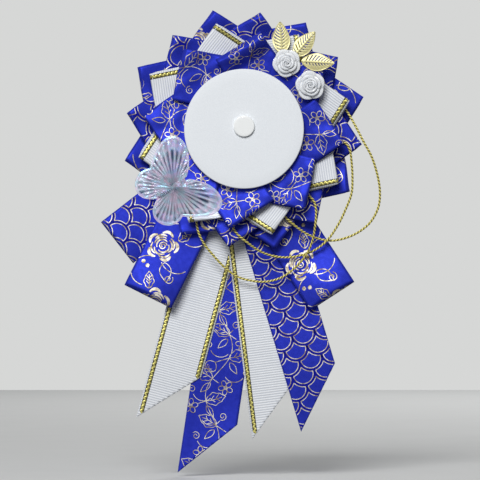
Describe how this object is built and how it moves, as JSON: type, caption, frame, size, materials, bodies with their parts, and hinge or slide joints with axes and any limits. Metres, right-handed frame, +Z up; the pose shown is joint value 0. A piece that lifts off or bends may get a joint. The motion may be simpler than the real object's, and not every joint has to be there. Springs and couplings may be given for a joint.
{
  "type": "award rosette",
  "caption": "Pleated ribbon award rosette with a felt badge seat, bow loops, hanging tails, gold cord and a bar pin on the back.",
  "frame": {"origin": "centre of the backing's rear face, on the rosette's axis", "axes": "+Z up as worn, +Y out of the back towards the wearer, +X to the right as seen from the front"},
  "size_m": [0.1341, 0.034, 0.2219],
  "materials": {
    "blue_satin": "blue satin ribbon with a gold foil print",
    "white_grosgrain": "white ribbed grosgrain with gold woven edges",
    "gold_thread": "twisted gold cord",
    "white_felt": "white pressed felt",
    "white_enamel": "white coated magnet",
    "clear_acrylic": "clear pressed acrylic with a pearl coat",
    "white_resin": "white cast resin",
    "pale_gold": "pale gold stamped sheet",
    "nickel": "nickel plated steel"
  },
  "bodies": {
    "rosette": {"rose_pleat_1": "blue_satin", "rose_pleat_2": "blue_satin", "rose_pleat_3": "blue_satin", "rose_pleat_4": "blue_satin", "rose_pleat_5": "blue_satin", "rose_pleat_6": "blue_satin", "rose_pleat_7": "blue_satin", "rose_pleat_8": "blue_satin", "wave_pleat_1": "blue_satin", "wave_pleat_2": "blue_satin", "wave_pleat_3": "blue_satin", "wave_pleat_4": "blue_satin", "wave_pleat_5": "blue_satin", "wave_pleat_6": "blue_satin", "wave_pleat_7": "blue_satin", "wave_pleat_8": "blue_satin", "grosgrain_pleat_1": "white_grosgrain", "grosgrain_pleat_2": "white_grosgrain", "grosgrain_pleat_3": "white_grosgrain", "grosgrain_pleat_4": "white_grosgrain", "grosgrain_pleat_5": "white_grosgrain", "grosgrain_pleat_6": "white_grosgrain", "grosgrain_pleat_7": "white_grosgrain", "grosgrain_pleat_8": "white_grosgrain", "vine_pleat_1": "blue_satin", "vine_pleat_2": "blue_satin", "vine_pleat_3": "blue_satin", "vine_pleat_4": "blue_satin", "vine_pleat_5": "blue_satin", "vine_pleat_6": "blue_satin", "vine_pleat_7": "blue_satin", "vine_pleat_8": "blue_satin", "wave_bow_loop": "blue_satin", "left_bow_loop": "blue_satin", "right_bow_loop": "blue_satin", "vine_tail": "blue_satin", "wave_tail": "blue_satin", "left_grosgrain_tail": "white_grosgrain", "middle_grosgrain_tail": "white_grosgrain", "outer_gold_cord": "gold_thread", "middle_gold_cord": "gold_thread", "lower_gold_cord": "gold_thread", "felt_disc": "white_felt", "pleat_base": "white_felt", "backing_felt": "white_felt", "badge_magnet": "white_enamel", "butterfly": "clear_acrylic", "upper_resin_rose": "white_resin", "lower_resin_rose": "white_resin", "top_leaf": "pale_gold", "middle_leaf": "pale_gold", "side_leaf": "pale_gold", "pin_bar": "nickel", "hinge_rivet": "nickel"},
    "stem": {"pin_stem": "nickel"},
    "catch": {"safety_catch": "nickel"}
  },
  "joints": [
    {"name": "pin_swing", "type": "hinge", "parent": "rosette", "child": "stem", "pos_m": [-0.0165, 0.0035, 0.012], "axis": [0, 0, 1], "range_deg": [0, 75]},
    {"name": "catch_roll", "type": "hinge", "parent": "rosette", "child": "catch", "pos_m": [0.0125, 0.0035, 0.012], "axis": [-1, 0, 0], "range_deg": [0, 100]}
  ]
}
